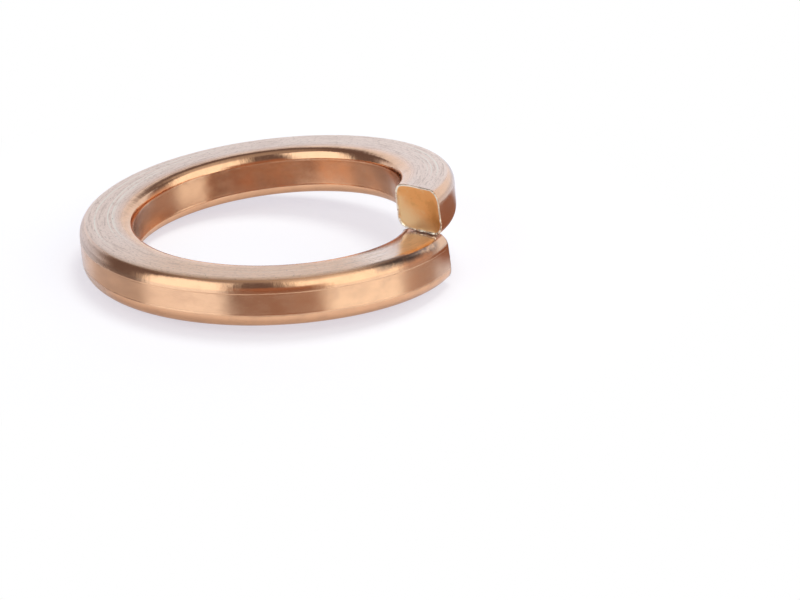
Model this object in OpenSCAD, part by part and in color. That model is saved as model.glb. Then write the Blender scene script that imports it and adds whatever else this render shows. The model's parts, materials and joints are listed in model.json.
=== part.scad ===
// Spring lock washer: one left-hand coil of bronze wire, sheared through at a slant.
// The axis of the bore is Z, and the lowest point of the coil lies at Z = 0.

/* [Wire] */
// Width of the wire, across the ring
wire_w = 2.5; // [1.2:0.05:4]
// Thickness of the wire, along the axis
wire_t = 2.26; // [1:0.01:4]
// How much thicker the wire is at the bore than at the outside, from being bent round
keystone = 0.02; // [0:0.02:0.4]
// How far each outer rounded edge reaches across the wire
edge_out_w = 0.48; // [0.1:0.02:0.9]
// How far it reaches along the outer wall
edge_out_h = 0.62; // [0.1:0.02:0.8]
// How far each rounded edge at the bore reaches across the wire
edge_in_w = 0.86; // [0.1:0.02:1.1]
// How far it reaches along the wall of the bore
edge_in_h = 0.5; // [0.1:0.02:0.8]

/* [Coil] */
// Diameter of the bore
bore_d = 12.2; // [6:0.1:40]
// Free space left between the two ends, where one lies over the other
end_gap = 0.02; // [0.02:0.01:4]
// Angle by which the ends lie over each other
end_lap = 5; // [0:0.5:12]
// Direction of the middle of the split, from the X axis
split_dir = -18.5; // [-180:0.5:180]

/* [Sheared ends] */
// Slant of the cut from a radius, seen from above
cut_skew = 25; // [0:1:35]
// Lean of the cut from upright
cut_lean = 7; // [0:1:15]
// Width of the burr lip round each cut face
lip_w = 0.12; // [0.05:0.01:0.3]
// Height of the burr lip over the hollow of the cut face
lip_h = 0.05; // [0.02:0.01:0.15]

/* [Hidden] */

bore_r = bore_d / 2;
outer_r = bore_r + wire_w;
mid_r = bore_r + wire_w / 2;

// The rounded edges as [across, up], outside and at the bore, no larger than the wire allows
most = 0.4 * [wire_w, wire_t - keystone];
round_out = [min(edge_out_w, most.x), min(edge_out_h, most.y)];
round_in = [min(edge_in_w, most.x), min(edge_in_h, most.y)];
// Rise of the coil in a full turn: its ends clear each other even at the thick inner side
pitch = wire_t + keystone / 2 + end_gap;
// The coil turns through a full circle and its lap
turn = 360 + end_lap;

// Each rounded edge is an arc in this many steps, which ends at this angle from the wall
arc_steps = 5;
arc_end = 20;
// The wire is swept this far past both walls, and the walls are turned afterwards
past_wall = 0.05;
// Number of steps along the coil
coil_steps = 124;
// Facets of the turned walls, one for each step of a full circle
$fn = 120;

// Half of the wire's thickness at a distance x outwards from its middle, as a share of wire_t / 2
function keystone_at(x) = 1 - keystone / wire_t * x / wire_w;

// One edge of the section, as [across, up]: the point past the wall, then the arc.
// sx is 1 outside and -1 at the bore, and sz is 1 above and -1 below. r is the edge's reach.
function edge(sx, sz, w, t, r, past) =
    let (
        out = past + r.x * (1 - cos(arc_end)),
        x0 = w / 2 - r.x,
        z0 = t / 2 - r.y,
        fall = out * r.y / r.x / tan(arc_end),
        tip = [x0 + r.x * cos(arc_end) + out, z0 + r.y * sin(arc_end) - fall],
        arc = [for (i = [0:arc_steps])
            let (a = arc_end + (90 - arc_end) * i / arc_steps) [x0 + r.x * cos(a), z0 + r.y * sin(a)]],
        pts = concat([tip], arc),
        last = len(pts) - 1
    )
    [for (i = [0:last]) let (p = pts[sx * sz > 0 ? i : last - i]) [sx * p.x, sz * p.y]];

// The whole section, once round
function section(w, t, r_out, r_in, past) =
    [for (side = [[1, 1], [-1, 1], [-1, -1], [1, -1]])
        let (r = side.x > 0 ? r_out : r_in)
        each [for (p = edge(side.x, side.y, w, t, r, past)) [p.x, p.y * keystone_at(p.x)]]];

// Height of the coil's middle line, a angles past its start
function coil_z(a) = pitch * a / 360;

// How far a point [x, y] of the section is carried on along the coil, in degrees,
// to bring it onto the cut plane. The height depends on the answer, so it is closed in on.
function to_cut(x, y, a = 0, tries = 4) =
    tries == 0 ? a :
    let (
        r = mid_r + x,
        lean = tan(cut_lean) * (y + coil_z(a))
    )
    to_cut(x, y, cut_skew - asin((mid_r * sin(cut_skew) - lean) / r), tries - 1);

// The pull towards the cut plane fades out over this angle from each end
fade_turn = 3 * cut_skew * wire_w / bore_r + 12;
function fade(a) = max(0, 1 - a / fade_turn, 1 - (turn - a) / fade_turn);

// A point [x, y] of the section in space, a degrees along the left-hand coil
function on_coil(x, y, a) =
    let (
        along = a + fade(a) * to_cut(x, y),
        dir = split_dir + end_lap / 2 - along,
        r = mid_r + x
    )
    [r * cos(dir), r * sin(dir), y + coil_z(along)];

// One ring of points for each step along the coil
swept = section(wire_w, wire_t, round_out, round_in, past_wall);
body_rings = [for (i = [0:coil_steps])
    [for (p = swept) on_coil(p.x, p.y, turn * i / coil_steps)]];

// The rim of the burr lip, and the floor of the hollow inside it
function drawn_in(r) = [max(r.x - lip_w, 0.05), max(r.y - lip_w, 0.05)];
lip_section = section(wire_w - 2 * lip_w, wire_t - 2 * lip_w, drawn_in(round_out), drawn_in(round_in), 0);
function lip_ring(a, depth) =
    [for (p = lip_section)
        let (
            q = on_coil(p.x, p.y, a),
            back = depth / mid_r * 180 / PI,
            s = sin(back),
            c = cos(back)
        )
        [q.x * c - q.y * s, q.x * s + q.y * c, q.z - coil_z(back)]];

rings = concat(
    [lip_ring(0, -lip_h), lip_ring(0, 0)],
    body_rings,
    [lip_ring(turn, 0), lip_ring(turn, lip_h)]
);
n = len(swept);
last_ring = len(rings) - 1;
ring_points = [for (ring = rings) each ring];
lowest = min([for (p = ring_points) p.z]);
highest = max([for (p = ring_points) p.z]);

// The coil with its walls still overwide
module coiled_wire() {
    sides = [for (i = [0:last_ring - 1], j = [0:n - 1])
        let (k = (j + 1) % n) each [
            [i * n + j, i * n + k, (i + 1) * n + k],
            [i * n + j, (i + 1) * n + k, (i + 1) * n + j]
        ]];
    start_cap = [[for (j = [0:n - 1]) n - 1 - j]];
    end_cap = [[for (j = [0:n - 1]) last_ring * n + j]];
    polyhedron(points = ring_points, faces = concat(sides, start_cap, end_cap), convexity = 8);
}

// The round space between the bore and the outside
module turned_walls() {
    over = 1;
    translate([0, 0, lowest - over])
        difference() {
            cylinder(r = outer_r, h = highest - lowest + 2 * over);
            translate([0, 0, -over])
                cylinder(r = bore_r, h = highest - lowest + 4 * over);
        }
}

module lock_washer() {
    color("#d9a878")
        translate([0, 0, -lowest])
            intersection() {
                coiled_wire();
                turned_walls();
            }
}

lock_washer();
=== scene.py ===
"""Dresses the spring lock washer: a coil of drawn bronze wire with sheared ends, on a pale table."""
import json
import logging
import math
from dataclasses import dataclass, field
from enum import Enum

import bmesh
import bpy
from mathutils import Matrix, Vector, noise


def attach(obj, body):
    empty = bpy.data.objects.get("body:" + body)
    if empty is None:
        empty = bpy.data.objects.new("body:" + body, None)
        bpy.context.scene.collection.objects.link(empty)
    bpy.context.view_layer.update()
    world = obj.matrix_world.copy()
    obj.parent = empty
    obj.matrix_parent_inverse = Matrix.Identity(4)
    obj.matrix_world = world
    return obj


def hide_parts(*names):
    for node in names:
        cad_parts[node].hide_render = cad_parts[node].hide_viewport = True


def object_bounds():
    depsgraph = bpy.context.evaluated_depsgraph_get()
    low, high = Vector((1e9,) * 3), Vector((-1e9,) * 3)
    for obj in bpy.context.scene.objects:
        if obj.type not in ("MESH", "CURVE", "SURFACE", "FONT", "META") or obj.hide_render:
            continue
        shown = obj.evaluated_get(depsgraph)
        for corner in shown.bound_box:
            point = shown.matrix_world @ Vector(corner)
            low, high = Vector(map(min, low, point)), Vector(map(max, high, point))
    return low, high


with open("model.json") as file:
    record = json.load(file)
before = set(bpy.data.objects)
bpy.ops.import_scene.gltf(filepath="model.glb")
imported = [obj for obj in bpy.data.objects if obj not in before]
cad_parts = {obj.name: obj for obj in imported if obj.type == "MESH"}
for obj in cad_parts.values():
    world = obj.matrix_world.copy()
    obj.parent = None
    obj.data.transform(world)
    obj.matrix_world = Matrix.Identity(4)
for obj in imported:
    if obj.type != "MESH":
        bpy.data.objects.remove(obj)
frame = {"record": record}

log = logging.getLogger("lock_washer")
cad_low, cad_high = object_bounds()

Colour = tuple[float, float, float]
Socket = bpy.types.NodeSocket
# The value that gives none of something, then the value that gives all of it
Fade = tuple[float, float]

MM = 0.001
NODE = "lock_washer"
# Thickness of the wire, and the gap between its ends where one lies over the other
WIRE_THICKNESS = 2.26 * MM
END_GAP = 0.02 * MM
# Colours that more than one part of a finish has; the pale gold also paints a glint on the sheared ends
GROOVE: Colour = (0.52, 0.36, 0.28)
SCRATCH: Colour = (1.0, 0.90, 0.80)
PALE_GOLD_AND_GLINT: Colour = (1.0, 0.72, 0.40)


class Side(Enum):
    """The side of the wire that a point of its section lies on."""

    FLAT = "flat"
    EDGE = "edge"
    WALL = "wall"


class End(Enum):
    """The two sheared ends of the coil."""

    LOWER = "lower"
    UPPER = "upper"


def smooth(low: float, high: float, value: float) -> float:
    """Eases from 0 at low to 1 at high.

    Args:
        low: The value that gives 0.
        high: The value that gives 1.
        value: The value to ease.

    Returns:
        A number from 0 to 1.
    """
    t = min(1.0, max(0.0, (value - low) / (high - low)))
    return t * t * (3 - 2 * t)


@dataclass
class Graph:
    """A node tree that is built by short calls."""

    tree: bpy.types.NodeTree

    def node(self, kind: str, inputs: dict | None = None, **settings: object) -> bpy.types.Node:
        """Adds a node.

        Args:
            kind: The node's type.
            inputs: Values or sockets for its inputs, by name or number.
            **settings: Values for the node's own properties.

        Returns:
            The new node.
        """
        made = self.tree.nodes.new(kind)
        for name, value in settings.items():
            setattr(made, name, value)
        for key, value in (inputs or {}).items():
            if isinstance(value, Socket):
                self.tree.links.new(value, made.inputs[key])
            else:
                made.inputs[key].default_value = value
        return made

    def feed(self, taker: bpy.types.Node, name: str, value: Socket) -> None:
        """Links a value to a node's input."""
        self.tree.links.new(value, taker.inputs[name])

    def stored(self, name: str) -> Socket:
        """Reads a vector that the mesh keeps at each of its points."""
        return self.node("ShaderNodeAttribute", attribute_name=name).outputs["Vector"]

    def parts(self, vector: Socket) -> list[Socket]:
        """Takes a vector apart into its three numbers."""
        return list(self.node("ShaderNodeSeparateXYZ", {0: vector}).outputs)

    def math(self, operation: str, *values: float | Socket) -> Socket:
        """Adds a Math node and returns its result."""
        return self.node("ShaderNodeMath", dict(enumerate(values)), operation=operation).outputs[0]

    def measure(self, operation: str, *places: Socket | Colour) -> Socket:
        """Adds a Vector Math node and returns the number that it gives."""
        inputs = dict(enumerate(places))
        return self.node("ShaderNodeVectorMath", inputs, operation=operation).outputs["Value"]

    def plus(self, base: float | Socket, value: Socket, times: float | Socket) -> Socket:
        """Adds a value, times a number, to a base."""
        return self.math("MULTIPLY_ADD", value, times, base)

    def product(self, first: float | Socket, *others: float | Socket) -> Socket:
        """Multiplies the values together."""
        for other in others:
            first = self.math("MULTIPLY", first, other)
        return first

    def rest(self, share: Socket) -> Socket:
        """Gives what a share leaves of 1."""
        return self.math("SUBTRACT", 1.0, share)

    def ease(self, value: Socket, low: float, high: float, out: tuple[float, float] = (0, 1)) -> Socket:
        """Eases a value from out[0] at low to out[1] at high and returns the result."""
        inputs = {"Value": value, "From Min": low, "From Max": high, "To Min": out[0], "To Max": out[1]}
        return self.node("ShaderNodeMapRange", inputs, interpolation_type="SMOOTHSTEP").outputs[0]

    def between(self, value: Socket, start: Fade, stop: Fade) -> Socket:
        """Gives 1 where a value lies between two fades, and 0 outside them."""
        return self.product(self.ease(value, *start), self.ease(value, *stop))

    def blend(
        self, share: float | Socket, below: Colour | Socket, above: Colour | Socket, how: str = "MIX"
    ) -> Socket:
        """Lays one colour over another.

        Args:
            share: How much of the upper colour shows, from 0 to 1.
            below: The lower colour.
            above: The upper colour.
            how: The Mix node's way of blending.

        Returns:
            The blended colour.
        """
        mix = self.node("ShaderNodeMix", {0: share}, data_type="RGBA", blend_type=how)
        for index, value in ((6, below), (7, above)):
            if isinstance(value, Socket):
                self.tree.links.new(value, mix.inputs[index])
            else:
                mix.inputs[index].default_value = (*value, 1)
        return mix.outputs[2]

    def bump(self, strength: float, distance: float, height: Socket) -> Socket:
        """Adds a Bump node and returns the normal that it gives."""
        inputs = {"Strength": strength, "Distance": distance, "Height": height}
        return self.node("ShaderNodeBump", inputs).outputs[0]

    def matt(self, colour: Colour) -> Socket:
        """Gives a matt shader."""
        return self.node("ShaderNodeBsdfDiffuse", {"Color": (*colour, 1)}).outputs[0]

    def glow(self, colour: Colour) -> Socket:
        """Gives a shader that sends out plain light."""
        return self.node("ShaderNodeEmission", {"Color": (*colour, 1), "Strength": 1.0}).outputs[0]

    def both(self, first: Socket, second: Socket) -> Socket:
        """Adds two shaders together."""
        return self.node("ShaderNodeAddShader", {0: first, 1: second}).outputs[0]

    def mix(self, share: Socket, below: Socket, above: Socket) -> Socket:
        """Lays one shader over another, where share says how much of it shows."""
        return self.node("ShaderNodeMixShader", {0: share, 1: below, 2: above}).outputs[0]


@dataclass(frozen=True)
class Grain:
    """A noise texture that is stretched along the wire or round it.

    Attributes:
        cells: Noise cells per millimetre along the wire, round it and through it.
        detail: Octaves of the noise.
        rough: Share that each octave keeps.
    """

    cells: Colour
    detail: float
    rough: float

    def draw(self, graph: Graph, place: Socket) -> Socket:
        """Draws the texture.

        Args:
            graph: The material's nodes.
            place: The coordinates, in millimetres.

        Returns:
            The noise, from 0 to 1.
        """
        inputs = {0: place, 1: self.cells}
        scaled = graph.node("ShaderNodeVectorMath", inputs, operation="MULTIPLY").outputs[0]
        inputs = {"Vector": scaled, "Scale": 1.0, "Detail": self.detail, "Roughness": self.rough}
        return graph.node("ShaderNodeTexNoise", inputs).outputs[0]


@dataclass(frozen=True)
class Layer:
    """A colour that lies over another one where a texture lets it show.

    Attributes:
        colour: The colour.
        shows: The texture's values that give the least and the most of it.
        most: Its share at the most.
        least: Its share at the least.
    """

    colour: Colour
    shows: Fade
    most: float
    least: float = 0.0

    def over(self, graph: Graph, below: Colour | Socket, texture: Socket) -> Socket:
        """Lays the colour over a lower one, by a texture."""
        share = graph.ease(texture, *self.shows, (self.least, self.most))
        return graph.blend(share, below, self.colour)


@dataclass(frozen=True)
class SectionPoint:
    """One point of the wire's section, in metres.

    Attributes:
        across: Distance outwards from the middle of the wire.
        up: Height over the middle of the wire.
        around: Distance round the section from its first point.
        side: The side of the wire that it lies on.
        level: How level the skin is there, from 0 for upright to 1.
    """

    across: float
    up: float
    around: float
    side: Side
    level: float


@dataclass(frozen=True)
class WireSection:
    """The section of the wire: flat above and below, straight at the walls, with rounded edges.

    Attributes:
        width: Size across the ring.
        thickness: Size along the axis, at the middle.
        keystone: How much thicker it is at the bore than outside.
        outer_edge: How far the two outer rounded edges reach across the wire and along its wall.
        bore_bends: The rounded edges at the bore, from the wall: pairs of a distance along the skin,
            in millimetres, and the angle over level that the skin faces there, in degrees.
        arc_steps: Faces across an outer rounded edge.
        bend_steps: Faces from one bend at the bore to the next.
        flat_steps: Faces across a flat.
        wall_steps: Faces up a wall.
    """

    width: float
    thickness: float
    keystone: float = 0.02 * MM
    outer_edge: tuple[float, float] = (0.48 * MM, 0.62 * MM)
    bore_bends: tuple[tuple[float, float], ...] = (
        (0.0, 0), (0.05, 12), (0.32, 34), (0.42, 55), (0.56, 72), (0.70, 82), (1.13, 88)
    )
    arc_steps: int = 14
    bend_steps: int = 4
    flat_steps: int = 18
    wall_steps: int = 18

    def outer_corner(self) -> list[tuple[float, float]]:
        """Gives the upper outer rounded edge, a quarter of an ellipse.

        Returns:
            Points from its wall to its flat, as (across, up).
        """
        reach_x, reach_y = self.outer_edge
        centre_x, centre_y = self.width / 2 - reach_x, self.thickness / 2 - reach_y
        turns = [math.pi / 2 * i / self.arc_steps for i in range(self.arc_steps + 1)]
        return [(centre_x + reach_x * math.cos(t), centre_y + reach_y * math.sin(t)) for t in turns]

    def bore_corner(self) -> list[tuple[float, float]]:
        """Gives the upper rounded edge at the bore, as if it lay outside.

        Returns:
            Points from its wall to its flat, as (across, up).
        """
        across, up = 0.0, 0.0
        points = [(across, up)]
        for (from_length, from_angle), (to_length, to_angle) in zip(self.bore_bends, self.bore_bends[1:]):
            step = (to_length - from_length) / self.bend_steps * MM
            for i in range(self.bend_steps):
                share = (i + 0.5) / self.bend_steps
                facing = math.radians(from_angle + (to_angle - from_angle) * share)
                across -= step * math.sin(facing)
                up += step * math.cos(facing)
                points.append((across, up))
        return [(self.width / 2 + x, self.thickness / 2 - up + y) for x, y in points]

    def sides(self) -> list[tuple[float, float, Side]]:
        """Gives the section without its keystone, once round against the clock from the outer wall.

        Returns:
            The points in order, as (across, up, side).
        """
        corners = {1: self.outer_corner(), -1: self.bore_corner()}
        points: list[tuple[float, float, Side]] = []
        for sx, sy in ((1, 1), (-1, 1), (-1, -1), (1, -1)):
            rising = sx * sy > 0
            corner = corners[sx] if rising else corners[sx][::-1]
            points += [(sx * x, sy * y, Side.EDGE) for x, y in corner]
            start = points[-1]
            if rising:
                stop = (-sx * corners[-sx][-1][0], start[1])
            else:
                stop = (start[0], -start[1])
            steps, side = (self.flat_steps, Side.FLAT) if rising else (self.wall_steps, Side.WALL)
            for i in range(1, steps):
                t = i / steps
                x = start[0] + (stop[0] - start[0]) * t
                points.append((x, start[1] + (stop[1] - start[1]) * t, side))
        return points

    def outline(self) -> list[SectionPoint]:
        """Gives the whole section, once round against the clock from the outer wall.

        Returns:
            The points in order.
        """
        lean = self.keystone / self.thickness / self.width
        placed = [(x, y * (1 - lean * x), side) for x, y, side in self.sides()]
        points, around = [], 0.0
        for i, (x, y, side) in enumerate(placed):
            if i:
                around += math.hypot(x - placed[i - 1][0], y - placed[i - 1][1])
            before, after = placed[i - 1], placed[(i + 1) % len(placed)]
            run, climb = after[0] - before[0], after[1] - before[1]
            points.append(SectionPoint(x, y, around, side, abs(run) / math.hypot(run, climb)))
        return points


@dataclass(frozen=True)
class ShearCut:
    """The slanting cut through the wire.

    Attributes:
        skew: Slant from a radius, seen from above, in radians.
        lean: Lean from upright, in radians.
    """

    skew: float = math.radians(25)
    lean: float = math.radians(7)

    def carry(self, radius: float, mid_radius: float, height: float) -> float:
        """Gives how far a point is carried on round the axis to lie on the cut.

        Args:
            radius: The point's distance from the axis.
            mid_radius: That of the middle of the wire.
            height: The point's height over the middle of the wire.

        Returns:
            An angle in radians.
        """
        reach = mid_radius * math.sin(self.skew) - math.tan(self.lean) * height
        return self.skew - math.asin(reach / radius)


@dataclass(frozen=True)
class Coil:
    """The left-hand helix that the wire follows.

    Attributes:
        mid_radius: Radius of the middle of the wire.
        pitch: Rise in a full turn.
        lap: Angle by which the ends lie over each other, in radians.
        split: Direction of the middle of the split, in radians.
        cut: The cut that both ends have.
        cut_reach: Angle from an end over which the pull of its cut fades out, in radians.
    """

    mid_radius: float
    pitch: float
    lap: float = math.radians(5)
    split: float = math.radians(-18.5)
    cut: ShearCut = ShearCut()
    cut_reach: float = math.radians(43)

    @property
    def turn(self) -> float:
        """The whole angle of the coil, in radians."""
        return 2 * math.pi + self.lap

    def rise(self, angle: float) -> float:
        """The height of the wire's middle over its start."""
        return self.pitch * angle / (2 * math.pi)

    def fade(self, angle: float) -> float:
        """How strongly the nearer cut pulls at a point, from 0 to 1."""
        return max(0.0, 1 - angle / self.cut_reach, 1 - (self.turn - angle) / self.cut_reach)

    def place(self, across: float, up: float, angle: float) -> Vector:
        """Places a point of the section.

        Args:
            across: Distance outwards from the middle of the wire.
            up: Height over the middle of the wire.
            angle: How far along the coil the section is, in radians.

        Returns:
            The point, with the start of the wire's middle at height 0.
        """
        radius = self.mid_radius + across
        along = angle + self.fade(angle) * self.cut.carry(radius, self.mid_radius, up)
        direction = self.split + self.lap / 2 - along
        return Vector((radius * math.cos(direction), radius * math.sin(direction), up + self.rise(along)))


@dataclass(frozen=True)
class Hairline:
    """One long line along the wire.

    Attributes:
        across: Its place across the wire, in millimetres, positive outwards.
        start: Where it starts along the wire, in millimetres.
        stop: Where it stops along the wire, in millimetres.
        width: Half of its width, in millimetres.
        strength: How bright it is, from 0 to 1.
        drift: How far it moves outwards for each millimetre along the wire.
        fade: The length over which it starts and stops, in millimetres.
        core: The share of its width within which it is whole.
    """

    across: float
    start: float
    stop: float
    width: float = 0.055
    strength: float = 0.9
    drift: float = 0.0
    fade: float = 3.0
    core: float = 0.35

    def draw(self, graph: Graph, along: Socket, across: Socket) -> Socket:
        """Draws the line.

        Args:
            graph: The material's nodes.
            along: The place along the wire, in millimetres.
            across: The place across it, in millimetres.

        Returns:
            How strong the line is there, from 0 to 1.
        """
        origin = self.across - self.drift * (self.start + self.stop) / 2
        off = graph.math("SUBTRACT", across, graph.plus(origin, along, self.drift))
        near = graph.ease(graph.math("ABSOLUTE", off), self.width, self.width * self.core)
        start, stop = (self.start, self.start + self.fade), (self.stop, self.stop - self.fade)
        return graph.product(near, graph.between(along, start, stop), self.strength)


HAIRLINES = (
    Hairline(0.50, 17, 32),
    Hairline(0.02, 17, 31, 0.05, drift=0.04),
    Hairline(-0.24, 17, 29, 0.06, drift=0.04),
    Hairline(-0.34, 18, 27, 0.03, 0.7, drift=0.04),
    Hairline(0.52, 38, 46),
    Hairline(0.24, 39, 46.5, 0.035),
    Hairline(0.05, 40, 46, 0.03, 0.7),
    Hairline(0.12, 0, 14, 0.03, 0.4),
)


@dataclass(frozen=True)
class SkinPlace:
    """Where a point of the skin lies, as a material's nodes read it.

    Attributes:
        wire: Its place along the wire and round it, as one vector in millimetres.
        along: Its place along the wire from the lower end, in millimetres.
        around: Its place round the section, in millimetres.
        across: Its distance outwards from the middle of the wire, in millimetres.
        edge: The share of rounded edge there, from 0 to 1.
        flat: The share of satin flat there, from 0 to 1.
    """

    wire: Socket
    along: Socket
    around: Socket
    across: Socket
    edge: Socket
    flat: Socket


@dataclass(frozen=True)
class SkinTexture:
    """The fine texture of the skin at a point, each part of it from 0 to 1.

    Attributes:
        brushed: Long streaks along the wire.
        sand: Short streaks.
        mottle: Clouds.
        facets: Low dents.
        dashes: Scattered strokes along the wire.
        pits: Scattered pits.
        lines: The few long bright lines.
    """

    brushed: Socket
    sand: Socket
    mottle: Socket
    facets: Socket
    dashes: Socket
    pits: Socket
    lines: Socket


@dataclass(frozen=True)
class SkinRelief:
    """How far each part of the texture stands out, as a share of the relief's height.

    Attributes:
        wall_dents: The dents in the walls.
        edge_dents: The dents in the rounded edges.
        mottle: The clouds on both.
        pits: The pits in both.
        brushed: The long streaks on the flats.
        sand: The short streaks there.
        dashes: The strokes there.
        lines: The long bright lines there.
    """

    wall_dents: float = 0.35
    edge_dents: float = 2.75
    mottle: float = 0.8
    pits: float = -0.4
    brushed: float = 0.8
    sand: float = 0.8
    dashes: float = -0.5
    lines: float = 0.7


@dataclass(frozen=True)
class DrawnBronze:
    """The skin of the wire: bright at the rounded edges, paler and duller on the flats.

    All places on the wire are in millimetres.

    Attributes:
        wall: Colour of the outer wall and the rounded edges.
        bore: Colour of the wall of the bore, darker than the outer wall: painted shade inside the bore.
        bore_shade_across: Where the one turns into the other, across the wire.
        tarnish: Dark clouds on both.
        painted_dark_reflection: Colour of a painted dark reflection, broken into clouds, on the upper
            outer edge near the lower end.
        dark_reflection_along: Where this painted reflection starts and stops along the wire.
        dark_reflection_around: Where it starts and stops round the wire.
        dark_reflection_cloud: The clouds' values that give none and all of it.
        flat: Colour of the flats.
        front_flat_shade: Deeper bronze colour of a stretch of the flats from near the lower end: painted
            shading for how the light falls there, while the rest of the flats stay paler.
        front_flat_shade_share: How much of it shows there.
        front_flat_shade_along: Where this painted shading starts and stops along the wire.
        grooves: Dark long streaks on the flats.
        gleams: Bright long streaks on the flats.
        grit: Dark short streaks on the flats.
        dash_shows: The texture's values that give none and all of a scattered stroke.
        dash_share: How much of the groove's colour a stroke has.
        line_sway: How far the long bright lines sway across the wire.
        line_shows: The texture's values that break these lines and that leave them whole.
        pit: Colour of the pits.
        pit_shows: The texture's values that give none and all of a pit.
        pit_shares: How much of it shows on the walls and on the flats.
        spill_along: Where the satin of the flats spills over the outer edge, along the wire.
        spill_across: Where it does so across the wire.
        spill_share: How strong the spilt satin is.
        rubbed_along: Where the flats are rubbed bright, along the wire.
        matt_share: How much the flats lose of the metal's mirror.
        wall_rough: Roughness of the walls.
        edge_rough: Roughness of the rounded edges.
        cloud_rough: The clouds' values that change both, and by how much they change them.
        flat_rough: Roughness of the flats.
        rubbed_rough: Roughness of the flats where they are rubbed.
        relief: How far each part of the texture stands out.
        relief_height: Height of the relief, in metres.
        relief_strength: Strength of the relief, from 0 to 1.
    """

    wall: Colour = (0.86, 0.50, 0.30)
    # bore is painted shade: the bore's wall is coloured darker for the shade inside it.
    bore: Colour = (0.74, 0.41, 0.24)
    bore_shade_across: Fade = (-0.9, -1.1)
    tarnish: Layer = Layer((0.62, 0.36, 0.23), (0.40, 0.75), 0.40)
    # smoke is a painted dark reflection on the upper outer edge near the lower end.
    painted_dark_reflection: Colour = (0.30, 0.20, 0.15)
    dark_reflection_along: tuple[Fade, Fade] = ((0.5, 1.4), (6.0, 4.2))
    dark_reflection_around: tuple[Fade, Fade] = ((0.12, 0.40), (1.0, 0.75))
    dark_reflection_cloud: Fade = (0.28, 0.62)
    flat: Colour = (0.97, 0.79, 0.69)
    # worn is painted shading: a stretch of the flats is tinted deeper bronze for how the light falls
    # there.
    front_flat_shade: Colour = (0.90, 0.62, 0.44)
    front_flat_shade_share: float = 0.85
    front_flat_shade_along: tuple[Fade, Fade] = ((1.5, 5.0), (18.5, 13.0))
    grooves: Layer = Layer(GROOVE, (0.50, 0.34), 0.45)
    gleams: Layer = Layer(SCRATCH, (0.52, 0.74), 0.35)
    grit: Layer = Layer(GROOVE, (0.50, 0.32), 0.45)
    dash_shows: Fade = (0.62, 0.70)
    dash_share: float = 0.35
    line_sway: float = 0.16
    line_shows: Fade = (0.22, 0.48)
    pit: Colour = (0.20, 0.15, 0.12)
    pit_shows: Fade = (0.70, 0.76)
    pit_shares: tuple[float, float] = (0.12, 0.57)
    spill_along: tuple[Fade, Fade] = ((16.2, 18.4), (27.0, 23.0))
    spill_across: Fade = (0.5, 0.8)
    spill_share: float = 0.75
    rubbed_along: Fade = (6.6, 4.4)
    matt_share: float = 0.32
    wall_rough: float = 0.17
    edge_rough: float = 0.15
    cloud_rough: tuple[Fade, tuple[float, float]] = ((0.3, 0.75), (-0.03, 0.07))
    flat_rough: float = 0.50
    rubbed_rough: float = 0.22
    relief: SkinRelief = SkinRelief()
    relief_height: float = 0.005 * MM
    relief_strength: float = 0.6

    def material(self) -> bpy.types.Material:
        """Builds the material.

        Returns:
            The new material.
        """
        made = bpy.data.materials.new("drawn_bronze")
        made.use_nodes = True
        graph = Graph(made.node_tree)
        place = self.place(graph)
        texture = self.texture(graph, place)
        rubbed = graph.ease(place.along, *self.rubbed_along)
        matt = graph.product(place.flat, graph.rest(rubbed))
        shader = made.node_tree.nodes["Principled BSDF"]
        graph.feed(shader, "Metallic", graph.plus(1.0, matt, -self.matt_share))
        graph.feed(shader, "Base Color", self.colour(graph, place, texture))
        graph.feed(shader, "Roughness", self.roughness(graph, place, texture, rubbed))
        graph.feed(shader, "Normal", self.normal(graph, place, texture))
        return made

    def place(self, graph: Graph) -> SkinPlace:
        """Reads where a point of the skin lies.

        Args:
            graph: The material's nodes.

        Returns:
            The place of the point.
        """
        wire = graph.stored("wire")
        along, around, _ = graph.parts(wire)
        plane, edge, across = graph.parts(graph.stored("zone"))
        spill = graph.product(
            graph.between(along, *self.spill_along),
            graph.ease(across, *self.spill_across),
            graph.product(edge, self.spill_share),
        )
        return SkinPlace(wire, along, around, across, edge, graph.math("MAXIMUM", plane, spill))

    def texture(self, graph: Graph, place: SkinPlace) -> SkinTexture:
        """Draws the fine texture of the skin.

        Args:
            graph: The material's nodes.
            place: The place of the point.

        Returns:
            The texture.
        """
        dashes = Grain((2.2, 15.0, 1.0), 2, 0.5).draw(graph, place.wire)
        pits = Grain((7.0, 11.0, 1.0), 1, 0.4).draw(graph, place.wire)
        return SkinTexture(
            brushed=Grain((0.6, 10.0, 1.0), 4, 0.65).draw(graph, place.wire),
            sand=Grain((5.0, 10.0, 1.0), 3, 0.65).draw(graph, place.wire),
            mottle=Grain((1.1, 1.5, 1.0), 4, 0.62).draw(graph, place.wire),
            facets=Grain((3.4, 1.8, 1.0), 3, 0.6).draw(graph, place.wire),
            dashes=graph.ease(dashes, *self.dash_shows),
            pits=graph.ease(pits, *self.pit_shows),
            lines=self.lines(graph, place),
        )

    def lines(self, graph: Graph, place: SkinPlace) -> Socket:
        """Draws the few long bright lines that the wire's die left on its flats.

        Args:
            graph: The material's nodes.
            place: The place of the point.

        Returns:
            How strong a line is at the point, from 0 to 1.
        """
        sway = Grain((0.12, 0.0, 0.0), 1, 0.5).draw(graph, place.wire)
        sway = graph.plus(-self.line_sway / 2, sway, self.line_sway)
        across = graph.math("ADD", place.across, sway)
        total: float | Socket = 0.0
        for line in HAIRLINES:
            total = graph.math("MAXIMUM", total, line.draw(graph, place.along, across))
        broken = Grain((1.6, 3.0, 1.0), 2, 0.6).draw(graph, place.wire)
        return graph.product(total, place.flat, graph.ease(broken, *self.line_shows))

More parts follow.
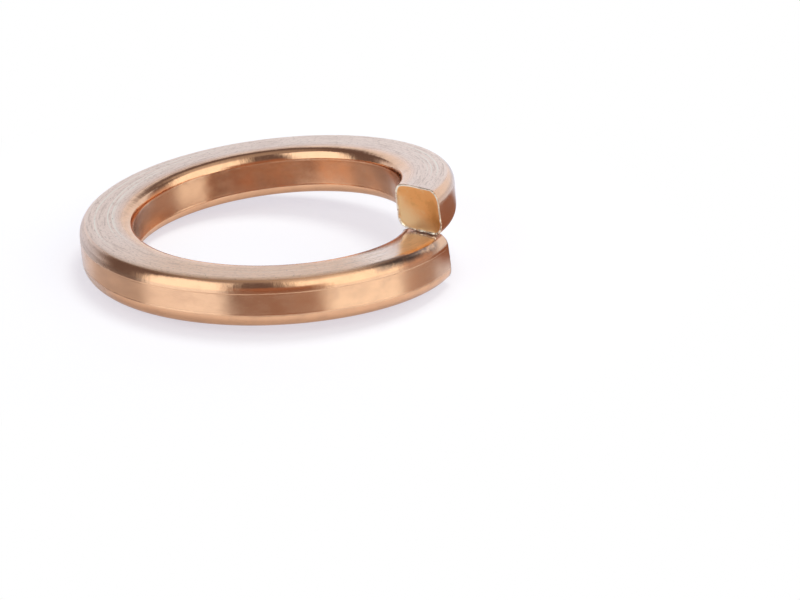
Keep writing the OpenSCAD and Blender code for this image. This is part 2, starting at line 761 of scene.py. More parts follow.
    def colour(self, graph: Graph, place: SkinPlace, texture: SkinTexture) -> Socket:
        """Draws the colour: the walls and edges, with painted shade in the bore and a painted dark
        reflection near the lower end, the satin flats over them with painted shading on a stretch of them,
        then lines and pits.

        Args:
            graph: The material's nodes.
            place: The place of the point.
            texture: The texture there.

        Returns:
            The colour of the point.
        """
        # Painted shade: the wall of the bore takes a darker colour.
        bore_shade = graph.product(graph.ease(place.across, *self.bore_shade_across), graph.rest(place.edge))
        bare = graph.blend(bore_shade, self.wall, self.bore)
        bare = self.tarnish.over(graph, bare, texture.mottle)
        # Painted dark reflection: clouds of a dark colour on the upper outer edge near the lower end.
        dark_reflection_mask = graph.product(
            graph.between(place.along, *self.dark_reflection_along),
            graph.between(place.around, *self.dark_reflection_around),
            graph.ease(texture.mottle, *self.dark_reflection_cloud),
            place.edge,
        )
        bare = graph.blend(dark_reflection_mask, bare, self.painted_dark_reflection)

        # Painted shading: a stretch of the flats near the lower end is tinted deeper bronze.
        front_flat_shading = graph.product(graph.between(place.along, *self.front_flat_shade_along), self.front_flat_shade_share)
        satin = graph.blend(front_flat_shading, self.flat, self.front_flat_shade)
        satin = self.grooves.over(graph, satin, texture.brushed)
        satin = self.gleams.over(graph, satin, texture.brushed)
        satin = self.grit.over(graph, satin, texture.sand)
        satin = graph.blend(graph.product(texture.dashes, self.dash_share), satin, GROOVE)

        on_walls, on_flats = self.pit_shares
        dotted = graph.product(texture.pits, graph.plus(on_walls, place.flat, on_flats - on_walls))
        colour = graph.blend(place.flat, bare, satin)
        colour = graph.blend(texture.lines, colour, SCRATCH)
        return graph.blend(dotted, colour, self.pit)

    def roughness(self, graph: Graph, place: SkinPlace, texture: SkinTexture, rubbed: Socket) -> Socket:
        """Draws the roughness.

        Args:
            graph: The material's nodes.
            place: The place of the point.
            texture: The texture there.
            rubbed: How far the flats are rubbed bright there, from 0 to 1.

        Returns:
            The roughness of the point.
        """
        clouds, change = self.cloud_rough
        bare = graph.plus(self.wall_rough, place.edge, self.edge_rough - self.wall_rough)
        bare = graph.math("ADD", bare, graph.ease(texture.mottle, *clouds, change))
        bare = graph.product(bare, graph.rest(place.flat))
        satin = graph.plus(self.flat_rough, rubbed, self.rubbed_rough - self.flat_rough)
        return graph.plus(bare, satin, place.flat)

    def normal(self, graph: Graph, place: SkinPlace, texture: SkinTexture) -> Socket:
        """Draws the relief.

        Args:
            graph: The material's nodes.
            place: The place of the point.
            texture: The texture there.

        Returns:
            The normal of the point.
        """
        relief = self.relief
        dents = graph.plus(relief.wall_dents, place.edge, relief.edge_dents - relief.wall_dents)
        bare = graph.plus(graph.product(texture.mottle, relief.mottle), texture.facets, dents)
        bare = graph.plus(bare, texture.pits, relief.pits)
        satin = graph.plus(graph.product(texture.brushed, relief.brushed), texture.sand, relief.sand)
        satin = graph.plus(satin, texture.dashes, relief.dashes)
        satin = graph.plus(satin, texture.lines, relief.lines)
        height = graph.plus(graph.product(bare, graph.rest(place.flat)), satin, place.flat)
        return graph.bump(self.relief_strength, self.relief_height, height)


@dataclass(frozen=True)
class ShearedBronze:
    """The freshly sheared ends: golden, matt and mottled, with a painted glint towards one corner and a
    torn lip painted bright, whose rim is painted dark in breaks.

    Attributes:
        deep: Colour of the darkest clouds of a face.
        face: The face's own colour over it.
        pale: Pale clouds on that.
        corner: A painted glint: the same pale gold, stronger towards the lower corner at the bore.
        towards_glint: The way from that corner up and outwards, as shares of across and up.
        lip: Colour of the burr lip: near white, a painted highlight over the real highlights that its
            raised shape catches.
        rim: Colour of the dark breaks in its rim: painted shade along the crease where the end meets the
            wire's skin.
        rim_shade_breaks: The torn texture's values that give none and all of a break in this painted
            shade.
        rough: Roughness of the face.
        lip_rough: That of the lip.
        torn_rough: The torn texture's values that change both, and by how much they change them.
        relief_height: Height of the relief, in metres.
        relief_strength: Strength of the relief, from 0 to 1.
        torn_relief: How far the torn texture stands out beside the clouds.
    """

    deep: Colour = (0.74, 0.33, 0.09)
    face: Layer = Layer((0.96, 0.48, 0.17), (0.34, 0.48), 1.0, 0.4)
    pale: Layer = Layer(PALE_GOLD_AND_GLINT, (0.50, 0.72), 0.8)
    # corner is a painted glint towards the lower corner at the bore.
    corner: Layer = Layer(PALE_GOLD_AND_GLINT, (0.3, -1.0), 1.0)
    towards_glint: tuple[float, float] = (0.6, 0.8)
    # lip is near white: a painted highlight on the burr lip.
    lip: Colour = (1.0, 0.94, 0.80)
    # rim is painted shade in dark breaks along the end's rim.
    rim: Colour = (0.30, 0.15, 0.08)
    rim_shade_breaks: Fade = (0.42, 0.55)
    rough: float = 0.50
    lip_rough: float = 0.28
    torn_rough: tuple[Fade, tuple[float, float]] = ((0.3, 0.7), (-0.06, 0.06))
    relief_height: float = 0.012 * MM
    relief_strength: float = 0.7
    torn_relief: float = 0.4

    def material(self) -> bpy.types.Material:
        """Builds the material.

        Returns:
            The new material.
        """
        made = bpy.data.materials.new("sheared_bronze")
        made.use_nodes = True
        graph = Graph(made.node_tree)
        wire = graph.stored("wire")
        across, up, _ = graph.parts(wire)
        _, lip, rim = graph.parts(graph.stored("zone"))
        mottle = Grain((0.9, 0.9, 0.9), 4, 0.6).draw(graph, wire)
        torn = Grain((11.0, 11.0, 11.0), 3, 0.6).draw(graph, wire)

        colour = self.face.over(graph, self.deep, mottle)
        colour = self.pale.over(graph, colour, mottle)
        # Painted glint: the face turns pale gold towards its lower corner at the bore.
        outwards, upwards = self.towards_glint
        off_glint_corner = graph.plus(graph.product(up, upwards), across, outwards)
        colour = self.corner.over(graph, colour, off_glint_corner)
        # Painted highlight: the lip takes a near-white colour.
        colour = graph.blend(lip, colour, self.lip)
        # Painted shade: dark breaks along the rim of the end.
        broken = graph.product(rim, graph.ease(torn, *self.rim_shade_breaks))
        colour = graph.blend(broken, colour, self.rim)

        values, change = self.torn_rough
        rough = graph.plus(self.rough, lip, self.lip_rough - self.rough)
        rough = graph.math("ADD", rough, graph.ease(torn, *values, change))
        height = graph.plus(mottle, torn, self.torn_relief)
        shader = made.node_tree.nodes["Principled BSDF"]
        shader.inputs["Metallic"].default_value = 1.0
        graph.feed(shader, "Base Color", colour)
        graph.feed(shader, "Roughness", rough)
        graph.feed(shader, "Normal", graph.bump(self.relief_strength, self.relief_height, height))
        return made


@dataclass(frozen=True)
class Wander:
    """A fine unevenness of the skin.

    Attributes:
        along: Noise cells per metre along the wire.
        around: Noise cells per metre round it.
        layer: The layer of the noise that is used.
        share: Its strength.
    """

    along: float
    around: float
    layer: float
    share: float

    def at(self, along: float, around: float) -> float:
        """Gives the unevenness at a place on the wire, in metres along it and round it."""
        return self.share * noise.noise(Vector((along * self.along, around * self.around, self.layer)))


@dataclass(frozen=True)
class BurrLip:
    """The torn lip round a sheared end, and the hollow face inside it.

    Attributes:
        height: How far the lip stands out of the end, in metres.
        width: Its width, in metres.
        profile: Its shape from the rim inwards: pairs of a share of its width and of its height.
        even: Its mean height, as a share.
        tears: What tears it: pairs of noise cells per millimetre and a share of its height.
        least: The share of its height that is always left.
        wall_gain: How much higher it stands along the two walls.
        wall_from: How far from the middle these count, as a share of the wire's width.
        hollow: Depth of the face, as a share of the lip's height.
        dimple: Unevenness of the face, in metres.
        dimple_cells: Noise cells of that per metre.
        end_shift: How far each end lies from the noise's origin, so that they differ, in metres.
    """

    height: float = 0.05 * MM
    width: float = 0.12 * MM
    profile: tuple[tuple[float, float], ...] = (
        (0.0, 0.0), (0.14, 0.6), (0.34, 1.0), (0.60, 0.7), (1.0, 0.0)
    )
    even: float = 0.7
    tears: tuple[tuple[float, float], ...] = ((3, 1.5), (11, 1.0))
    least: float = 0.05
    wall_gain: float = 1.5
    wall_from: float = 0.4
    hollow: float = 0.5
    dimple: float = 0.012 * MM
    dimple_cells: float = 1600
    end_shift: float = 2 * MM

    def lift(self, point: SectionPoint, wire_width: float, share: float, outwards: int) -> float:
        """Gives how far the lip stands out.

        Args:
            point: The point of the section's outline that it belongs to.
            wire_width: Width of the wire.
            share: The lip's share of its height there.
            outwards: 1 at the upper end and -1 at the lower one.

        Returns:
            The height in metres.
        """
        seed = Vector((point.across, point.up, self.end_shift * outwards)) / MM
        ragged = self.even + sum(part * noise.noise(seed * cells) for cells, part in self.tears)
        gain = self.wall_gain if abs(point.across) > self.wall_from * wire_width else 1.0
        return self.height * share * max(self.least, ragged) * gain

    def depth(self, across: float, up: float, inset: float, outwards: int) -> float:
        """Gives how deep the face lies.

        Args:
            across: Distance outwards from the middle of the wire.
            up: Height over the middle of the wire.
            inset: Distance from the rim.
            outwards: 1 at the upper end and -1 at the lower one.

        Returns:
            The depth in metres.
        """
        place = Vector((across, up, self.end_shift / 2 * outwards)) * self.dimple_cells
        hollow = smooth(0.0, 2 * self.width, inset) * self.height * self.hollow
        return hollow + self.dimple * noise.noise(place)


@dataclass
class LockWasher:
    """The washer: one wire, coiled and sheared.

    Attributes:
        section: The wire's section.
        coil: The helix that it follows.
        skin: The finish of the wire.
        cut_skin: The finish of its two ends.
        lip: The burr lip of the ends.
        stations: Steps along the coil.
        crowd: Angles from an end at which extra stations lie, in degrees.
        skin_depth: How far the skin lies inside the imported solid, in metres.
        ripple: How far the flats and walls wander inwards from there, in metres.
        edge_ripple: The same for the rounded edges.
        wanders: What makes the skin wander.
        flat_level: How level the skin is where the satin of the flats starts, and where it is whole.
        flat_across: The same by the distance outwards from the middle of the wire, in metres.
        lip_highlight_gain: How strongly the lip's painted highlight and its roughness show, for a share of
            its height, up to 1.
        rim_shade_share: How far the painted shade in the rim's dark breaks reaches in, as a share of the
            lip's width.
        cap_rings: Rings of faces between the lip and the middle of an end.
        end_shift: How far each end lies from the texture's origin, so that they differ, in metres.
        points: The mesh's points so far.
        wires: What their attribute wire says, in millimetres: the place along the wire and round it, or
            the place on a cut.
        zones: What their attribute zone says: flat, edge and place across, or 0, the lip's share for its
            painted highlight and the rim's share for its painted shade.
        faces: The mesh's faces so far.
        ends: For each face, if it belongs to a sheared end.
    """

    section: WireSection
    coil: Coil
    skin: DrawnBronze = DrawnBronze()
    cut_skin: ShearedBronze = ShearedBronze()
    lip: BurrLip = BurrLip()
    stations: int = 600
    crowd: tuple[float, ...] = (0.25, 0.55, 0.95, 1.5)
    skin_depth: float = 0.002 * MM
    ripple: float = 0.004 * MM
    edge_ripple: float = 0.010 * MM
    wanders: tuple[Wander, ...] = (Wander(350, 1400, 0, 1.0), Wander(900, 2600, 7, 0.5))
    flat_level: Fade = (0.80, 0.95)
    flat_across: Fade = (-0.85 * MM, -0.38 * MM)
    lip_highlight_gain: float = 1.5
    rim_shade_share: float = 0.2
    cap_rings: int = 14
    end_shift: float = 5 * MM
    points: list[Vector] = field(default_factory=list)
    wires: list[Vector] = field(default_factory=list)
    zones: list[Vector] = field(default_factory=list)
    faces: list[tuple[int, ...]] = field(default_factory=list)
    ends: list[bool] = field(default_factory=list)

    def angles(self) -> list[float]:
        """Gives the places of the stations along the coil, closer together near the ends.

        Returns:
            Angles from the start of the coil, in radians.
        """
        turn = self.coil.turn
        crowd = [math.radians(a) for a in self.crowd]
        evenly = (turn * i / self.stations for i in range(1, self.stations))
        middle = [a for a in evenly if crowd[-1] < a < turn - crowd[-1]]
        return [0.0, *crowd, *middle, *(turn - a for a in reversed(crowd)), turn]

    def add_skin_point(self, point: SectionPoint, angle: float) -> None:
        """Adds one point of the wire's skin.

        Args:
            point: The point of the section.
            angle: The place of the section along the coil, in radians.
        """
        along = angle * self.coil.mid_radius
        wander = sum(w.at(along, point.around) for w in self.wanders)
        ripple = self.edge_ripple if point.side is Side.EDGE else self.ripple
        inward = self.skin_depth + ripple * max(0.0, (1 + wander) / 2)
        shrink = 1 - inward / math.hypot(point.across, point.up)
        self.points.append(self.coil.place(point.across * shrink, point.up * shrink, angle))
        self.wires.append(Vector((along, point.around, 0)) / MM)
        flat = smooth(*self.flat_level, point.level) * smooth(*self.flat_across, point.across)
        edge = 1.0 - flat if point.side is Side.EDGE else 0.0
        self.zones.append(Vector((flat, edge, point.across / MM)))

    def add_wire(self) -> None:
        """Sweeps the section along the coil."""
        outline = self.section.outline()
        count = len(outline)
        angles = self.angles()
        for angle in angles:
            for point in outline:
                self.add_skin_point(point, angle)
        for i in range(len(angles) - 1):
            for j in range(count):
                k = (j + 1) % count
                self.faces.append((i * count + j, i * count + k, (i + 1) * count + k, (i + 1) * count + j))
                self.ends.append(False)

    def end_rings(self) -> list[tuple[float, float]]:
        """Gives the rings of points of a sheared end, from its rim inwards.

        Returns:
            For each ring, its distance from the rim and the lip's share of its height there.
        """
        rings = [(share * self.lip.width, height) for share, height in self.lip.profile]
        reach = self.section.width / 2 - self.lip.width
        rings += [(self.lip.width + reach * i / self.cap_rings, 0.0) for i in range(1, self.cap_rings)]
        return rings

    def add_end_points(self, end: End) -> None:
        """Adds the points of a sheared end: its rings from the rim inwards, then its middle.

        Args:
            end: Which end.
        """
        outwards = 1 if end is End.UPPER else -1
        angle = self.coil.turn if end is End.UPPER else 0.0
        outline = self.section.outline()
        for inset, height in self.end_rings():
            shrink = 1 - inset / (self.section.width / 2)
            rim = 1.0 - smooth(0.0, self.rim_shade_share * self.lip.width, inset)
            for p in outline:
                x, y = p.across * shrink, p.up * shrink
                lift = self.lip.lift(p, self.section.width, height, outwards)
                out = lift - self.lip.depth(x, y, inset, outwards) if inset else 0.0
                self.points.append(self.turned(x, y, angle, outwards * out))
                self.wires.append(Vector((x, y, self.end_shift * outwards)) / MM)
                # The lip's share carries its painted highlight, the rim's share its painted shade.
                self.zones.append(Vector((0, min(1.0, height * self.lip_highlight_gain), rim)))
        self.points.append(self.turned(0, 0, angle, -outwards * self.lip.height * self.lip.hollow))
        self.wires.append(Vector((0, 0, self.end_shift * outwards)) / MM)
        self.zones.append(Vector((0, 0, 0)))

    def add_end(self, end: End) -> None:
        """Closes one end with its sheared face and burr lip.

        Args:
            end: Which end.
        """
        first = len(self.points)
        self.add_end_points(end)
        count = len(self.section.outline())
        rings = len(self.end_rings())
        centre = len(self.points) - 1
        for i in range(rings):
            for j in range(count):
                a, b = first + i * count + j, first + i * count + (j + 1) % count
                face = (a, b, b + count, a + count) if i + 1 < rings else (a, b, centre)
                self.faces.append(face if end is End.UPPER else face[::-1])
                self.ends.append(True)

    def turned(self, across: float, up: float, angle: float, out: float) -> Vector:
        """Places a point of an end and carries it on along the coil.

        Args:
            across: Distance outwards from the middle of the wire.
            up: Height over the middle of the wire.
            angle: The end's place along the coil, in radians.
            out: How far the point is carried on, in metres.

        Returns:
            The point.
        """
        push = out / self.coil.mid_radius
        turned = Matrix.Rotation(-push, 3, "Z") @ self.coil.place(across, up, angle)
        turned.z += self.coil.rise(push)
        return turned

    def build(self) -> bpy.types.Object:
        """Builds, dresses and places the washer.

        Returns:
            The new object.
        """
        self.add_wire()
        for end in End:
            self.add_end(end)
        drop = min(p.z for p in self.points)
        mesh = bpy.data.meshes.new("bronze_coil")
        mesh.from_pydata([p - Vector((0, 0, drop - cad_low.z)) for p in self.points], [], self.faces)
        for name, values in (("wire", self.wires), ("zone", self.zones)):
            layer = mesh.attributes.new(name, "FLOAT_VECTOR", "POINT")
            layer.data.foreach_set("vector", [c for v in values for c in v])
        for finish in (self.skin, self.cut_skin):
            mesh.materials.append(finish.material())
        mesh.polygons.foreach_set("material_index", [int(e) for e in self.ends])
        mesh.polygons.foreach_set("use_smooth", [True] * len(mesh.polygons))
        mesh.update()
        washer = bpy.data.objects.new("bronze_coil", mesh)
        bpy.context.scene.collection.objects.link(washer)
        self.weld(mesh)
        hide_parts(NODE)
        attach(washer, "root")
        return washer

    @staticmethod
    def weld(mesh: bpy.types.Mesh) -> None:
        """Joins the rims of the ends to the wire and keeps them sharp.

        Args:
            mesh: The washer's mesh.
        """
        same_place = 1e-8
        work = bmesh.new()
        work.from_mesh(mesh)
        bmesh.ops.remove_doubles(work, verts=work.verts, dist=same_place)
        for edge in work.edges:
            faces = edge.link_faces
            if len(faces) == 2 and faces[0].material_index != faces[1].material_index:
                edge.smooth = False
        work.to_mesh(mesh)
        work.free()


@dataclass(frozen=True)
class Heading:
    """A direction looked in, taken apart into parts that the studio's panels need.

    Attributes:
        x: Its part along +X.
        y: Its part along +Y.
        level: How much of it is level.
        up: Its angle to the level plane, in radians, which counts the same above and below it.
    """

    x: Socket
    y: Socket
    level: Socket
    up: Socket

    @classmethod
    def of(cls, graph: Graph, direction: Socket) -> "Heading":
        """Takes a direction apart.

        Args:
            graph: The world's nodes.
            direction: The direction, of length 1.

        Returns:
            Its parts.
        """
        x, y, z = graph.parts(direction)
        rest = graph.rest(graph.product(z, z))
        level = graph.math("SQRT", graph.math("MAXIMUM", rest, 1e-6))
        return cls(x, y, level, graph.math("ARCSINE", graph.math("ABSOLUTE", z)))


@dataclass(frozen=True)
class Panel:
    """A bright or dark patch of the studio, far off, as the metal sees it.

    Attributes:
        azimuth: Direction of its middle from +X, in degrees.
        half_width: Half of its width, in degrees.
        top: Height of its upper rim, in degrees.
        light: Its colour and strength, where 1 is white.
        bottom: Height of its lower rim, in degrees.
        soft_side: Width of its soft side rims, in degrees.
        soft_top: Width of its soft upper and lower rims, in degrees.
    """

    azimuth: float
    half_width: float
    top: float
    light: Colour
    bottom: float = -90
    soft_side: float = 7
    soft_top: float = 12

    def mask(self, graph: Graph, heading: Heading) -> Socket:
        """Draws the panel.

        Args:
            graph: The world's nodes.
            heading: The direction looked in.

        Returns:
            The share of the panel in that direction, from 0 to 1.
        """
        middle = math.radians(self.azimuth)
        ahead = graph.plus(graph.product(heading.y, math.sin(middle)), heading.x, math.cos(middle))
        aside = graph.math("ARCCOSINE", graph.math("DIVIDE", ahead, heading.level))
        half, soft = math.radians(self.half_width), math.radians(self.soft_side)
        share = graph.ease(aside, half + soft, half - soft)
        top, soft = math.radians(self.top), math.radians(self.soft_top)
        share = graph.product(share, graph.ease(heading.up, top + soft, top - soft))
        if self.bottom > 0:
            low = math.radians(self.bottom)
            share = graph.product(share, graph.ease(heading.up, low - soft, low + soft))
        return share


@dataclass(frozen=True)
class Surroundings:
    """The studio round the table: white to the camera, soft panels in dim light to all else.

    Attributes:
        panels: The panels, each drawn over the ones before it.
        gloom: Colour between the panels.
        ceiling: Colour overhead.
        ceiling_height: Where the gloom turns into the ceiling, in degrees over level.
        mirror_loss: What is left of each colour under the horizon, where a wider table would mirror it.
        mirror_height: Where that starts and is whole, as the upward part of the direction.
        beneath: Colour further down.
        beneath_height: Where that starts and is whole, as the upward part of the direction.
        beneath_share: How much of it shows there.
    """

    panels: tuple[Panel, ...] = (
        Panel(-4, 72, 80, (0.60, 0.59, 0.58), bottom=54, soft_side=18),
        Panel(-142.5, 27.5, 56, (1.42, 1.50, 1.52)),
        Panel(-38, 37.5, 56, (1.45, 1.50, 1.44), soft_side=12, soft_top=16),
        Panel(79, 54, 35, (0.90, 1.0, 1.14), soft_top=7),
        Panel(11, 15, 18, (0.64, 0.47, 0.40)),
        Panel(138, 16, 12, (0.80, 0.85, 0.95), soft_side=8, soft_top=8),
        Panel(-84, 27, 17, (0.36, 0.19, 0.13), soft_top=7),
    )
    gloom: Colour = (0.15, 0.12, 0.125)
    ceiling: Colour = (0.38, 0.355, 0.345)
    ceiling_height: Fade = (50, 76)
    mirror_loss: Colour = (0.78, 0.80, 0.84)
    mirror_height: Fade = (0.01, -0.09)
    beneath: Colour = (0.80, 0.80, 0.82)
    beneath_height: Fade = (-0.16, -0.55)
    beneath_share: float = 0.9

    def build(self) -> None:
        """Builds the world."""
        world = bpy.data.worlds.new("studio")
        bpy.context.scene.world = world
        world.use_nodes = True
        world.node_tree.nodes.clear()
        graph = Graph(world.node_tree)
        direction = graph.node("ShaderNodeTexCoord").outputs["Generated"]
        heading = Heading.of(graph, direction)
        overhead = graph.ease(heading.up, *(math.radians(h) for h in self.ceiling_height))
        light = graph.blend(overhead, self.gloom, self.ceiling)
        for panel in self.panels:
            light = graph.blend(panel.mask(graph, heading), light, panel.light)
        up = graph.parts(direction)[2]
        light = graph.blend(graph.ease(up, *self.mirror_height), light, self.mirror_loss, "MULTIPLY")
        below = graph.ease(up, *self.beneath_height, (0.0, self.beneath_share))
        light = graph.blend(below, light, self.beneath)
        seen = graph.node("ShaderNodeLightPath").outputs["Is Camera Ray"]
        light = graph.blend(seen, light, (1.0, 1.0, 1.0))
        shade = graph.node("ShaderNodeBackground", {"Color": light, "Strength": 1.0})
        graph.node("ShaderNodeOutputWorld", {"Surface": shade.outputs[0]})


@dataclass(frozen=True)
class Table:
    """The pale table under the washer: white to the camera with soft shadows, glossy to the metal.

    Attributes:
        radius: Its radius, in metres.
        gap: How far it lies under the washer, in metres.
        segments: Sides of its rim.
        hull_step: One in so many points of the washer counts for the plane that it rests on.
        hull_steepest: Upward part of the normal above which a face of its hull is no such plane.
        whitens: Distances from its middle over which it turns white to the camera, in metres.
        colour: Its colour to the camera, in the lamp's light.
        glow: Light that it adds to the camera, so that its shadows stay pale.
        metal_colour: Its colour to the metal, in the lamp's light.
        metal_glow: Light that it adds to the metal.
        gloss: Colour of its gloss to the metal.
        gloss_rough: Roughness of the gloss.
        gloss_slant: How much the metal's rays slant where the gloss starts, and where it is whole.
        gloss_share: How much of it shows there.
        painted_reflection_patch: Colour of a dark glowing patch that only the metal sees: a painted dark
            reflection in the walls that face it.
        painted_reflection_at: Distance and direction of the patch from the middle, in metres and radians.
        painted_reflection_radius: Its radius, in metres.
        painted_reflection_core: The share of its radius within which it is whole.
    """

    radius: float = 30 * MM
    gap: float = 0.004 * MM
    segments: int = 96
    hull_step: int = 3
    hull_steepest: float = -0.8
    whitens: Fade = (12.6 * MM, 20.6 * MM)
    colour: Colour = (0.40, 0.425, 0.41)
    glow: Colour = (0.585, 0.56, 0.615)
    metal_colour: Colour = (0.62, 0.625, 0.645)
    metal_glow: Colour = (0.22, 0.21, 0.22)
    gloss: Colour = (0.82, 0.86, 0.92)
    gloss_rough: float = 0.12
    gloss_slant: Fade = (0.5, 0.72)
    gloss_share: float = 0.93
    # patch is a painted dark reflection: a dark glowing patch that only the metal sees.
    painted_reflection_patch: Colour = (0.30, 0.15, 0.10)
    painted_reflection_at: tuple[float, float] = (13.9 * MM, math.radians(15))
    painted_reflection_radius: float = 6.5 * MM
    painted_reflection_core: float = 0.6

    def rest_plane(self, washer: bpy.types.Object) -> tuple[Vector, Vector]:
        """Finds the plane that the washer comes to rest on: the hull's face under its middle.

        Args:
            washer: The washer.

        Returns:
            A point of the plane and its upward normal.
        """
        work = bmesh.new()
        for vertex in list(washer.data.vertices)[::self.hull_step]:
            work.verts.new(vertex.co)
        hull = bmesh.ops.convex_hull(work, input=work.verts)
        middle = Vector((0, 0, cad_low.z))
        best = None
        for face in (f for f in hull["geom"] if isinstance(f, bmesh.types.BMFace)):
            if face.normal.z > self.hull_steepest:
                continue
            a, b, c = (v.co.xy - middle.xy for v in face.verts[:3])
            turns = [a.cross(b), b.cross(c), c.cross(a)]
            if all(t <= 0 for t in turns) or all(t >= 0 for t in turns):
                best = (face.verts[0].co.copy(), -face.normal)
        work.free()
        return best or (middle, Vector((0, 0, 1)))

    def build(self, washer: bpy.types.Object) -> bpy.types.Object:
        """Builds the table where the washer rests on it.

        Args:
            washer: The washer.

        Returns:
            The table.
        """
        at, normal = self.rest_plane(washer)
        log.info("rests on a plane tilted by %.2f degrees", math.degrees(normal.angle(Vector((0, 0, 1)))))
        work = bmesh.new()
        bmesh.ops.create_circle(work, cap_ends=True, segments=self.segments, radius=self.radius)
        mesh = bpy.data.meshes.new("table")
        work.to_mesh(mesh)
        work.free()
        table = bpy.data.objects.new("table", mesh)
        height = at.z + (at.x * normal.x + at.y * normal.y) / normal.z
        table.location = Vector((0, 0, height - self.gap))
        table.rotation_mode = "QUATERNION"
        table.rotation_quaternion = Vector((0, 0, 1)).rotation_difference(normal)
        bpy.context.scene.collection.objects.link(table)
        mesh.materials.append(self.material())
        return table

    def material(self) -> bpy.types.Material:
        """Builds the table's material.

        Returns:
            The new material.
        """
        made = bpy.data.materials.new("white_table")
        made.use_nodes = True
        made.node_tree.nodes.clear()
        graph = Graph(made.node_tree)
        place = graph.node("ShaderNodeTexCoord").outputs["Object"]
        ray = graph.node("ShaderNodeLightPath").outputs
        plain = graph.matt(self.metal_colour)
        unseen = graph.mix(ray["Is Glossy Ray"], plain, self.to_metal(graph, place, plain))
        final = graph.mix(ray["Is Camera Ray"], unseen, self.to_camera(graph, place))
        graph.node("ShaderNodeOutputMaterial", {"Surface": final})
        return made

    def to_camera(self, graph: Graph, place: Socket) -> Socket:
        """Shades the table as the camera sees it.

        Args:
            graph: The material's nodes.
            place: The place on the table.

        Returns:
            The shader.
        """
        rim = graph.ease(graph.measure("LENGTH", place), *self.whitens)
        pale = graph.both(graph.matt(self.colour), graph.glow(self.glow))
        return graph.mix(rim, pale, graph.glow((1.0, 1.0, 1.0)))

    def to_metal(self, graph: Graph, place: Socket, plain: Socket) -> Socket:
        """Shades the table as the metal mirrors it, with a patch of painted dark reflection.

        Args:
            graph: The material's nodes.
            place: The place on the table.
            plain: The table's matt shader.

        Returns:
            The shader.
        """
        inputs = {"Color": (*self.gloss, 1), "Roughness": self.gloss_rough}
        gloss = graph.node("ShaderNodeBsdfGlossy", inputs).outputs[0]
        slant = graph.node("ShaderNodeLayerWeight", {"Blend": 0.5}).outputs["Facing"]
        share = graph.ease(slant, *self.gloss_slant, (0, self.gloss_share))
        mirrored = graph.mix(share, graph.both(plain, graph.glow(self.metal_glow)), gloss)
        # Painted dark reflection: a dark glowing patch on the table that only the metal sees.
        out, azimuth = self.painted_reflection_at
        middle = (out * math.cos(azimuth), out * math.sin(azimuth), 0)
        off = graph.measure("DISTANCE", place, middle)
        in_painted_reflection = graph.ease(off, self.painted_reflection_radius, self.painted_reflection_radius * self.painted_reflection_core)
        return graph.mix(in_painted_reflection, mirrored, graph.glow(self.painted_reflection_patch))


@dataclass(frozen=True)
class Lamp:
    """The one lamp, high up behind and to the right, which gives the table its soft shadow.

    Attributes:
        size: Its diameter, in metres.
        energy: Its power, in watts.
        azimuth: Its direction from +X, in radians.
        elevation: Its height over level, in radians.
        distance: Its distance from the origin, in metres.
    """

    size: float = 0.08
    energy: float = 0.12
    azimuth: float = math.radians(42)
    elevation: float = math.radians(73)
    distance: float = 0.16

    def hang(self) -> bpy.types.Object:
        """Makes the lamp and aims it at the origin.

        Returns:
            The lamp.
        """
        data = bpy.data.lights.new("key", "AREA")
        data.shape = "DISK"
        data.size = self.size
        data.energy = self.energy
        lamp = bpy.data.objects.new("key", data)
        level, height = self.distance * math.cos(self.elevation), self.distance * math.sin(self.elevation)
        lamp.location = (level * math.cos(self.azimuth), level * math.sin(self.azimuth), height)
        lamp.rotation_mode = "QUATERNION"
        lamp.rotation_quaternion = Vector(lamp.location).to_track_quat("Z", "Y")
        lamp.visible_glossy = False
        bpy.context.scene.collection.objects.link(lamp)
        return lamp


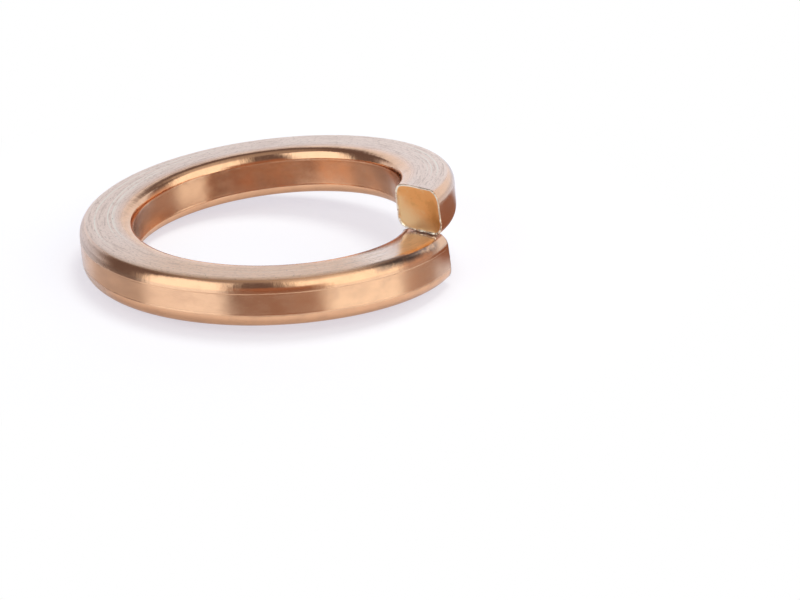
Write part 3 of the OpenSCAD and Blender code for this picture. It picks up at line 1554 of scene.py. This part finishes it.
@dataclass(frozen=True)
class PhotoCamera:
    """The camera at the photograph's view.

    Attributes:
        scale: Pixels to a metre at the washer.
        distance: Distance from the washer's middle, in metres.
        elevation: Height over the plane of the coil, in radians.
        roll: Turn of the picture, in radians.
        middle: Where the washer's middle lies in the picture, in pixels.
        picture: Size of the picture, in pixels.
        sensor: Width of the sensor, in millimetres.
        clip: The nearest and the farthest distance that it sees, in metres.
    """

    scale: float = 21.96 / MM
    distance: float = 223.97 * MM
    elevation: float = math.radians(19.69)
    roll: float = math.radians(4.50)
    middle: tuple[float, float] = (268.698, 226.681)
    picture: tuple[float, float] = (800.0, 600.0)
    sensor: float = 36.0
    clip: tuple[float, float] = (0.01, 2.0)

    def place(self) -> bpy.types.Object:
        """Makes the scene's camera.

        Returns:
            The camera.
        """
        sine, cosine = math.sin(self.elevation), math.cos(self.elevation)
        right, up = Vector((1, 0, 0)), Vector((0, sine, cosine))
        ahead = Vector((0, cosine, -sine))
        side = right * math.cos(self.roll) - up * math.sin(self.roll)
        top = right * math.sin(self.roll) + up * math.cos(self.roll)
        centre = (cad_low + cad_high) / 2
        centre.x = centre.y = 0
        off_x = (self.middle[0] - self.picture[0] / 2) / self.scale
        off_y = (self.picture[1] / 2 - self.middle[1]) / self.scale
        data = bpy.data.cameras.new("camera")
        data.sensor_width = self.sensor
        data.lens = self.scale * self.distance * self.sensor / self.picture[0]
        data.clip_start, data.clip_end = self.clip
        camera = bpy.data.objects.new("camera", data)
        turn = Matrix((side, top, -ahead)).transposed().to_4x4()
        turn.translation = centre - ahead * self.distance - side * off_x - top * off_y
        camera.matrix_world = turn
        bpy.context.scene.collection.objects.link(camera)
        bpy.context.scene.camera = camera
        return camera


def washer_from_frame() -> LockWasher:
    """Takes the washer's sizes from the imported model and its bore.

    Returns:
        The washer, not built yet.
    """
    bore = next(m for m in frame["record"]["mounts"] if m["name"] == "bore")
    bore_radius = bore["dims"]["r_mm"] * MM
    outer_radius = (cad_high.x - cad_low.x) / 2
    section = WireSection(width=outer_radius - bore_radius, thickness=WIRE_THICKNESS)
    pitch = section.thickness + section.keystone / 2 + END_GAP
    return LockWasher(section, Coil((bore_radius + outer_radius) / 2, pitch))


def main() -> None:
    """Builds the washer, what stands round it and the camera, in that order."""
    logging.basicConfig(level=logging.INFO, format="%(name)s: %(message)s")
    scene = bpy.context.scene
    scene.view_settings.view_transform = "Standard"
    washer = washer_from_frame().build()
    log.info("washer: %d faces", len(washer.data.polygons))
    surroundings = Surroundings()
    surroundings.build()
    log.info("surroundings: %d panels", len(surroundings.panels))
    table = Table()
    table.build(washer)
    log.info("table: %.0f mm across", 2 * table.radius / MM)
    lamp = Lamp().hang()
    log.info("lamp: %.2f W", lamp.data.energy)
    camera = PhotoCamera().place()
    log.info("camera: %.0f mm lens", camera.data.lens)


if __name__ == "__main__":
    main()
